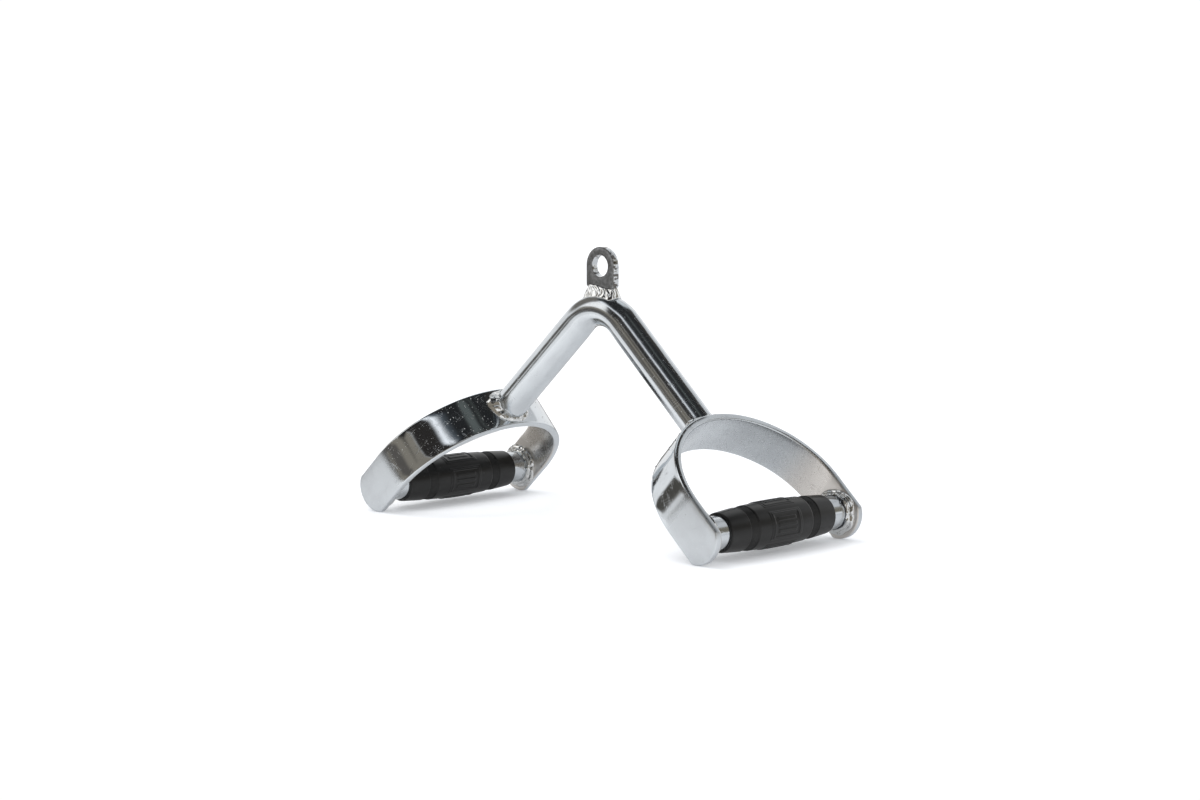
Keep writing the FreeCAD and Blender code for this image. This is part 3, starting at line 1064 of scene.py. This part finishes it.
def moulded_rubber():
    """Charcoal rubber: a soft sheen on its smooth parts, matt on the knurled bands."""
    material, tree, shader = start_material("moulded_rubber")
    shader.inputs["Specular IOR Level"].default_value = 0.42
    reach = math_node(tree, "ABSOLUTE", axes(tree, stock_place(tree))["X"])
    off_band = math_node(tree, "ABSOLUTE", math_node(tree, "SUBTRACT", reach, band_place))
    band = span(tree, off_band, band_width / 2, band_width / 2 - matt_edge)
    grit = grain(tree, 1500)
    cloud = grain(tree, 90, detail=4)
    dust = span(tree, cloud, 0.5, 0.75)
    colour = blend(tree, dust, (0.0040, 0.0040, 0.0040, 1), (0.0075, 0.0074, 0.0072, 1))
    colour = blend(tree, dots(tree, 160, 0.06, 0.10), colour, (0.10, 0.095, 0.09, 1))
    rougher = ((band, 0.10), (grit, 0.10))
    set_surface(tree, shader, colour, 0.30, rougher, ((cloud, 0.10, 0.10), (grit, 0.20, 0.04)))
    return material


bar_plate = plated_bar()
tube_plate = plated_tube()
eye_plate = plated_eye()
weld_plate = plated_weld()
rubber = moulded_rubber()

make_bent_tube(tube_plate)
make_eye(eye_plate)
make_eye_weld(weld_plate)
for side in (1, -1):
    make_strap(side, bar_plate)
    make_grip_tube(side, tube_plate)
    make_sleeve(side, rubber)
    make_leg_weld(side, weld_plate)
    for end in (-1, 1):
        make_grip_weld(side, end, weld_plate)


# Studio

floor_far = 12
floor_left = 0.40
floor_front = 0.32
floor_dim_span = (-0.35, 0.30)  # from front to back
dark_left_span = (-0.21, -0.27)  # where the plating sees a dark floor: left of this
dark_back_span = (-0.15, -0.09)  # and behind this


def studio_floor():
    """Plain white floor, glowing faintly: a painted fill light that lightens its shadows. The plating
    sees it less bright, with painted shade dimmer towards the back and a painted dark reflection at the
    left.

    It ends a little in front of the handle and left of it, past which the plating sees the studio.
    """
    material, tree, shader = start_material("floor_white")
    place = axes(tree, add(tree, "TexCoord").outputs["Object"])
    backwards = span(tree, place["Y"], *floor_dim_span)
    dim = blend(tree, backwards, (0.90, 0.89, 0.88, 1), (0.42, 0.425, 0.435, 1))
    dark = times(tree, span(tree, place["X"], *dark_left_span), span(tree, place["Y"], *dark_back_span))
    dim = blend(tree, dark, dim, (0.06, 0.045, 0.02, 1))
    mirrored = add(tree, "LightPath").outputs["Is Glossy Ray"]
    colour = blend(tree, mirrored, (0.93, 0.94, 0.96, 1), dim)
    tree.links.new(colour, shader.inputs["Base Color"])
    shader.inputs["Roughness"].default_value = 0.9
    shader.inputs["Specular IOR Level"].default_value = 0.1
    # Painted fill light: a faint glow that lightens the floor's shadows.
    shader.inputs["Emission Color"].default_value = (0.96, 0.98, 1.0, 1)
    shader.inputs["Emission Strength"].default_value = 0.22
    corners = [
        (-floor_left, -floor_front, 0),
        (floor_far, -floor_front, 0),
        (floor_far, floor_far, 0),
        (-floor_far, floor_far, 0),
        (-floor_far, floor_front, 0),
        (-floor_left, floor_front, 0),
    ]
    mesh = bpy.data.meshes.new("floor")
    mesh.from_pydata(corners, [], [tuple(range(len(corners)))])
    mesh.materials.append(material)
    add_object("floor", mesh)


# What the plating reflects on a white ground, painted in order: the azimuth from the front
# towards the right and the elevation, each as from, to and softness in degrees, then the colour.
reflections = (
    ((-190, 190, 1), (40, 95, 2), (0.022, 0.023, 0.024)),  # dark ceiling
    ((-175, -95, 8), (42, 68, 5), (0.75, 0.78, 0.80)),  # lamp high at the left
    ((55, 190, 5), (31, 60, 3), (0.045, 0.042, 0.038)),  # dark over the right and the back
    ((121, 190, 3), (24, 43.3, 0.8), (0.68, 0.69, 0.70)),  # pale wall at the back
    ((-190, -168, 1), (24, 43.3, 0.8), (0.68, 0.69, 0.70)),  # the same wall, past the back
    ((-60, 75, 3), (-7.5, 28, 1.5), (0.27, 0.245, 0.205)),  # brownish wall in front
    ((-49, -38, 1.5), (-7.5, 9, 1.2), (0.10, 0.098, 0.095)),  # dark things before that wall
    ((-62, -50.5, 1.5), (-9, 0.5, 1), (0.9, 0.9, 0.9)),  # light at its left foot
    ((-60, -18, 3), (1, 10, 2), (0.12, 0.11, 0.10)),  # dark strip low at the left
    ((-76, -58, 2), (0.5, 8.5, 1.5), (0.09, 0.085, 0.075)),  # and its end
    ((-30, 75, 4), (28, 46, 1.5), (0.03, 0.027, 0.025)),  # dark above the brownish wall
    ((-32, -14, 2), (19, 32, 3), (0.03, 0.028, 0.026)),  # dark corner of it
    ((-112, -66, 6), (15, 50, 4), (0.20, 0.185, 0.165)),  # dim wall at the left
    ((-62, -33, 4), (19, 57, 3), (1.35, 1.33, 1.30)),  # lamp at the front left
    ((-66, 44, 8), (52, 57, 5), (0.14, 0.165, 0.19)),  # bluish glow over the next lamp
    ((-66, 38, 6), (48.5, 53.5, 3), (1.3, 1.32, 1.35)),  # long lamp across the front
    ((70, 92, 6), (58, 75, 5), (0.12, 0.135, 0.13)),  # faint glow on the ceiling
    ((100, 107, 4), (58, 76, 5), (0.06, 0.066, 0.063)),  # and a fainter one
    ((46, 82, 6), (38, 49, 3), (0.95, 0.96, 0.95)),  # lamp at the right
    ((104, 150, 5), (6, 29, 3), (0.2, 0.18, 0.14)),  # brownish wall at the back right
)


def studio_world():
    """Soft white all round for the eye and for matt surfaces; the plating sees lamps and dark corners."""
    world = bpy.data.worlds.new("studio")
    world.use_nodes = True
    bpy.context.scene.world = world
    tree = world.node_tree
    towards = axes(tree, add(tree, "TexCoord").outputs["Generated"])
    degrees = 180 / math.pi
    front = times(tree, towards["Y"], -1.0)
    azimuth = times(tree, math_node(tree, "ARCTAN2", towards["X"], front), degrees)
    elevation = times(tree, math_node(tree, "ARCSINE", towards["Z"]), degrees)
    mirrored = (1.0, 1.0, 1.0, 1)
    for around, above, colour in reflections:
        share = 1.0
        for value, (low, high, soft) in ((azimuth, around), (elevation, above)):
            share = times(tree, share, span(tree, value, low - soft, low + soft))
            share = times(tree, share, span(tree, value, high + soft, high - soft))
        mirrored = blend(tree, share, mirrored, (*colour, 1))
    soft_light = (0.86, 0.865, 0.875, 1)
    backdrop = (1.05, 1.05, 1.05, 1)
    path = add(tree, "LightPath").outputs
    plain = blend(tree, path["Is Camera Ray"], soft_light, backdrop)
    shown = blend(tree, path["Is Glossy Ray"], plain, mirrored)
    tree.links.new(shown, tree.nodes["Background"].inputs["Color"])


def soft_lamp():
    """Broad lamp high on the left, for the faint soft shadows on the floor."""
    light = bpy.data.lights.new("lamp_high_left", "SUN")
    light.energy = 0.8
    light.angle = math.radians(38)
    lamp = add_object("lamp_high_left", light)
    shining_towards = Vector((0.42, 0.12, -1))
    lamp.rotation_euler = shining_towards.to_track_quat("-Z", "Y").to_euler()
    lamp.visible_glossy = False


def studio_camera():
    """Camera where the photograph was taken from."""
    azimuth = math.radians(44.28)
    elevation = math.radians(6.88)
    distance = 2.0976
    target = Vector((-0.00269, 0, 0.09582))
    away = Vector((
        math.sin(azimuth) * math.cos(elevation),
        -math.cos(azimuth) * math.cos(elevation),
        math.sin(elevation),
    ))
    lens = bpy.data.cameras.new("camera")
    lens.sensor_width = 36
    lens.lens = 82.59
    lens.clip_start = 0.05
    camera = add_object("camera", lens)
    camera.location = target + away * distance
    camera.rotation_euler = (-away).to_track_quat("-Z", "Y").to_euler()
    bpy.context.scene.camera = camera


studio_floor()
studio_world()
soft_lamp()
studio_camera()
bpy.context.scene.view_settings.view_transform = "Standard"
